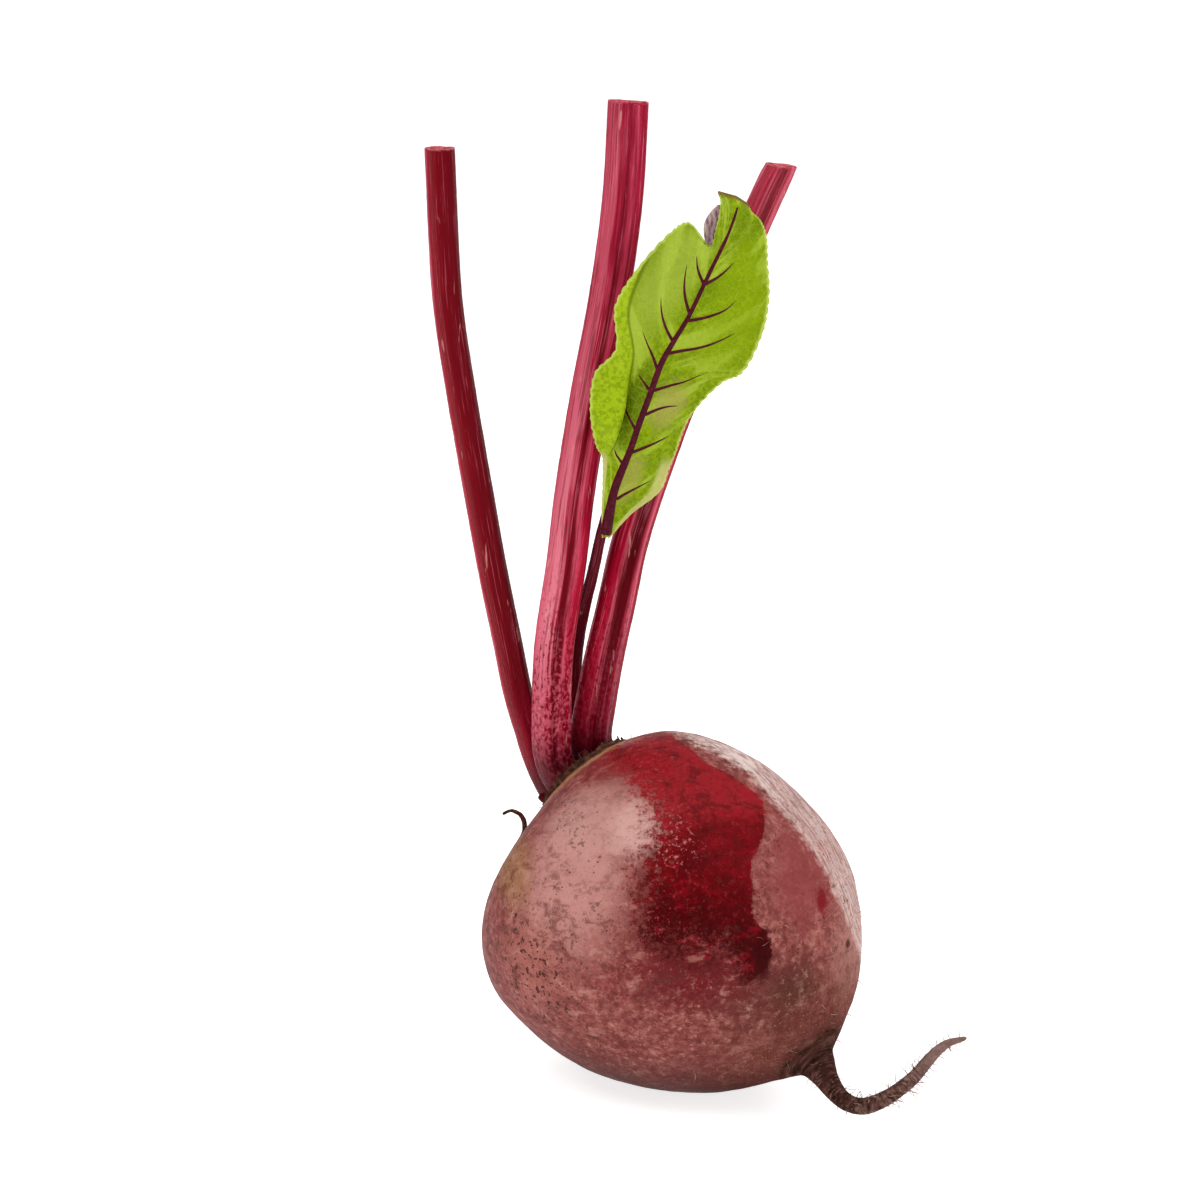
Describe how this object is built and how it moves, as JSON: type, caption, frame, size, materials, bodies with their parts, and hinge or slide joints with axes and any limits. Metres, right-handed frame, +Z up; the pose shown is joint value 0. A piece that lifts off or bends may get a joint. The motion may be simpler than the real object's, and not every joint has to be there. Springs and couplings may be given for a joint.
{
  "type": "beetroot",
  "caption": "Fresh beetroot with its tail, cut leaf stems standing from the crown and a young leaf on its own stalk, resting on a small flat spot.",
  "frame": {"origin": "in the middle of the small flat spot that the root rests on", "axes": "+Z up along the stems, +X to the right as pictured, +Y to the back"},
  "size_m": [0.1015, 0.0687, 0.184],
  "materials": {
    "root_skin": "satin",
    "dry_scale": "matte",
    "leaf_stem": "satin",
    "leaf_stalk": "satin",
    "leaf_green": "satin"
  },
  "bodies": {
    "root": {"beet_root": "root_skin", "crown_scales": "dry_scale", "stem_left": "leaf_stem", "stem_centre": "leaf_stem", "stem_right": "leaf_stem", "leaf_stalk": "leaf_stalk", "leaf_blade": "leaf_green"}
  },
  "joints": []
}
